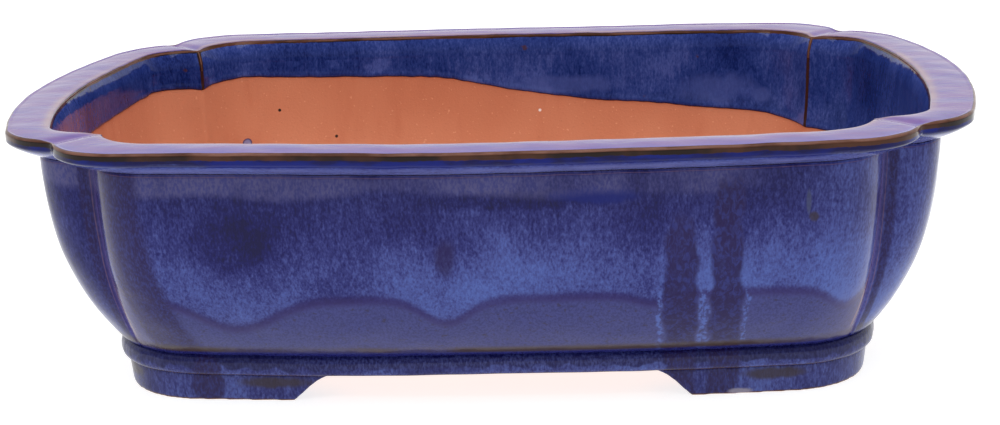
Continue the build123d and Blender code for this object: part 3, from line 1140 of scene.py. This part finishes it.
# Marks on the feet: glaze wiped thin, a dark drip at the left and a chip at the right
WIPED_MARKS = (
    ((-0.086, -0.104, 0.0080), (0.017, 0.03, 0.0028)),
    ((-0.150, -0.075, 0.0085), (0.010, 0.03, 0.0035)),
    ((0.113, -0.100, 0.0085), (0.014, 0.03, 0.0028)),
    ((0.090, 0.104, 0.0080), (0.020, 0.03, 0.0030)),
    ((-0.125, 0.095, 0.0070), (0.012, 0.03, 0.0030)),
)
FOOT_DRIP = ((-0.114, -0.102, 0.008), (0.007, 0.03, 0.016))
FOOT_CHIP = ((0.098, -0.102, 0.0012), (0.0055, 0.02, 0.0016))


def worn_edges(g, colour):
    """Red-brown clay shows through where a foot's corners and the lower edges are worn."""
    corners = g.step(g.add("ShaderNodeNewGeometry").outputs["Pointiness"], 0.53, 0.60)
    worn = g.math("MAXIMUM", g.times(corners, g.field("corner")), g.field("edge"))
    return g.mix(ragged(g, worn, 0.45, 0.75), colour, RED_BROWN)


def base_glaze(name):
    g = GlazeGraph(name)
    colour = glaze_tone(g, (0.65, 0.35, 0.7), (1.0, 0.03), (g.step(g.x, -0.08, -0.12), -0.06))
    for mark in WIPED_MARKS:
        colour = g.tint(colour, patch(g, *mark), 0.85, OLIVE)
    pooled = g.crystal_mix(0.38, 0.66, NAVY, MIDDLE_BLUE)
    sides = g.step(g.math("ABSOLUTE", g.x), 0.060, 0.095, 0.25, 0.6)
    colour = g.mix(g.step(g.field("pool"), 0.2, 0.8), colour, g.mix(sides, pooled, INK))
    dark = g.crystal_mix(0.42, 0.7, PLUM, COBALT)
    drips = g.math("MAXIMUM", g.field("drip"), patch(g, *FOOT_DRIP))
    colour = g.tint(colour, g.step(drips, 0.1, 0.7), 0.9, dark)
    colour = worn_edges(g, colour)
    colour = g.mix(patch(g, *FOOT_CHIP), colour, CHIP)
    colour = g.mix(g.field("bare"), colour, CLAY_SHADE)
    return glaze_surface(g, colour, 0.25, (0.18, 0.32))


# A stray splash of glaze on the clay inside, with a pale middle that is partly a painted highlight, two dark
# pits and a white fleck
SPLASH = (-0.129, 0.1166, 0.062)
PITS = ((-0.085, 0.120, 0.0634), (-0.113, 0.1212, 0.0770))
FLECK = (0.0168, 0.1254, 0.0734)
CLAY_ROUGHNESS = 0.82
SPLASH_ROUGHNESS = 0.12


def bare_clay(name):
    g = Graph(bpy.data.materials.new(name))
    grain = g.noise(g.place, 850, detail=4, roughness=0.7)
    grit = g.noise(g.place, 640, detail=1)
    tone = g.noise(g.scaled(1, 1, 0.5), 14, detail=3)
    wiped = g.noise(g.scaled(1, 1, 0.12), 70, detail=3)
    colour = g.mix(g.step(tone, 0.3, 0.7), CLAY, CLAY_SHADE)
    colour = g.tint(colour, g.step(grain, 0.60, 0.74), 0.35, CLAY_PORES)
    colour = g.tint(colour, g.step(grit, 0.68, 0.78), 0.4, CLAY_GRIT)
    for pit in PITS:
        colour = g.mix(spot(g, pit, 0.9 * MM, 0.6 * MM), colour, DARK_BROWN)
    colour = g.mix(spot(g, FLECK, 0.9 * MM, 0.5 * MM), colour, CHALK)
    splash = spot(g, SPLASH, 2.5 * MM, 2.1 * MM)
    colour = g.mix(splash, colour, NAVY)
    # painted highlight: the splash's pale middle
    colour = g.mix(spot(g, SPLASH, 2.2 * MM, 1.3 * MM), colour, SPLASH_GLINT_BLUE)
    colour = g.mix(g.step(wiped, 0.5, 0.72, 0, 0.35), colour, CLAY_WIPED)
    normal = g.bump(grain, 0.0005, 0.45)
    normal = g.bump(g.noise(g.scaled(1, 1, 0.3), 60, detail=2), 0.001, 0.3, normal)
    rough = g.math("MULTIPLY_ADD", splash, SPLASH_ROUGHNESS - CLAY_ROUGHNESS, CLAY_ROUGHNESS)
    return g.show("ShaderNodeBsdfPrincipled", Base_Color=colour, Roughness=rough, Normal=normal, IOR=1.4)


def pale_floor():
    """A white table that glows a little, like one lit from below."""
    return Graph(bpy.data.materials.new("pale_floor")).show(
        "ShaderNodeBsdfPrincipled", Base_Color=(0.40, 0.40, 0.40), Roughness=0.6,
        Emission_Color=(1, 1, 1), Emission_Strength=0.80,
    )


# --- Stage, light and camera ---

CAMERA_YAW = radians(-2.508)
CAMERA_HEIGHT_ANGLE = radians(13.917)
CAMERA_ROLL = radians(1.689)
CAMERA_DISTANCE = 0.8676
CAMERA_AIM = Vector((0.0003, 0.0122, 0.0492))
CAMERA_LENS = 70.03
CAMERA_SENSOR = 36

FLOOR_HALF = 3.0

# Area lights: (name, place, (length, width), watts, seen as a reflection)
LIGHTS = (
    ("overhead", (0.1, 0.1, 1.3), (1.2, 0.8), 13, False),
    ("front_fill", (0.1, -0.8, 1.25), (1.6, 0.4), 8, True),
    ("left_front", (-0.9, -0.9, 0.9), (0.5, 0.7), 3, False),
)
LIGHT_AIM = (0, 0, 0.06)

# The world's strength behind the camera and behind the pot, and where one fades into the other
STUDIO_FRONT = 0.45
STUDIO_BACK = 1.0
STUDIO_FADE = -0.2, 0.6


def add_camera():
    forward = Vector((
        cos(CAMERA_HEIGHT_ANGLE) * sin(CAMERA_YAW),
        cos(CAMERA_HEIGHT_ANGLE) * cos(CAMERA_YAW),
        -sin(CAMERA_HEIGHT_ANGLE),
    ))
    level = forward.cross(Vector((0, 0, 1))).normalized()
    upright = level.cross(forward)
    right = level * cos(CAMERA_ROLL) - upright * sin(CAMERA_ROLL)
    above = level * sin(CAMERA_ROLL) + upright * cos(CAMERA_ROLL)
    turn = Matrix((right, above, -forward)).transposed().to_4x4()
    data = bpy.data.cameras.new("camera")
    data.lens = CAMERA_LENS
    data.sensor_width = CAMERA_SENSOR
    data.clip_start = 10 * MM
    camera = add_object("camera", data)
    camera.matrix_world = Matrix.Translation(CAMERA_AIM - forward * CAMERA_DISTANCE) @ turn
    bpy.context.scene.camera = camera


def add_light(name, place, size, power, mirrored):
    data = bpy.data.lights.new(name, "AREA")
    data.shape = "RECTANGLE"
    data.size, data.size_y = size
    data.energy = power
    light = add_object(name, data)
    light.location = place
    light.visible_glossy = mirrored
    light.rotation_euler = (Vector(LIGHT_AIM) - Vector(place)).to_track_quat("-Z", "Y").to_euler()


def add_floor():
    corners = [(x * FLOOR_HALF, y * FLOOR_HALF, 0) for x, y in ((-1, -1), (1, -1), (1, 1), (-1, 1))]
    mesh = bpy.data.meshes.new("floor")
    mesh.from_pydata(corners, [], [(0, 1, 2, 3)])
    mesh.materials.append(pale_floor())
    add_object("floor", mesh)


def add_studio():
    """A white studio, dimmer on the camera's side."""
    g = Graph(bpy.data.worlds.new("studio"), "ShaderNodeOutputWorld", "Generated")
    strength = g.step(g.y, *STUDIO_FADE, STUDIO_FRONT, STUDIO_BACK)
    bpy.context.scene.world = g.show("ShaderNodeBackground", Color=(1, 1, 1), Strength=strength)


# --- Assembly ---

def build_pieces():
    for side in SIDES:
        build_walls(side)
        build_inner_glaze(side)
        build_rim(side)
        build_band(side)
    for depth in LONG_SIDES:
        for hand in ("left", "right"):
            add_softened(f"foot_{depth}_{hand}", FOOT_VOXEL, FOOT_ROUNDS, foot_fields)
    add_softened("floor_slab", SLAB_VOXEL, SLAB_ROUNDS)


def finish_pieces():
    """Give each piece its material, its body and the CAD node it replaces."""
    clay = bare_clay("stoneware_clay")
    glazes = {
        "outer_glaze": wall_glaze("cobalt_glaze_wall"),
        "inner_glaze": inside_glaze("cobalt_glaze_inside"),
        "rim": rim_glaze("cobalt_glaze_rim"),
        "base_band": base_glaze("cobalt_glaze_base"),
    }
    glazes["foot"] = glazes["base_band"]
    for name, piece in PIECES.items():
        glaze = [material for start, material in glazes.items() if name.startswith(start)]
        piece.data.materials.clear()
        piece.data.materials.append(glaze[0] if glaze else clay)
        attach(piece, "root")
        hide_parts(name)


bpy.context.scene.view_settings.view_transform = "Standard"
add_camera()
add_floor()
for light in LIGHTS:
    add_light(*light)
add_studio()
build_pieces()
finish_pieces()
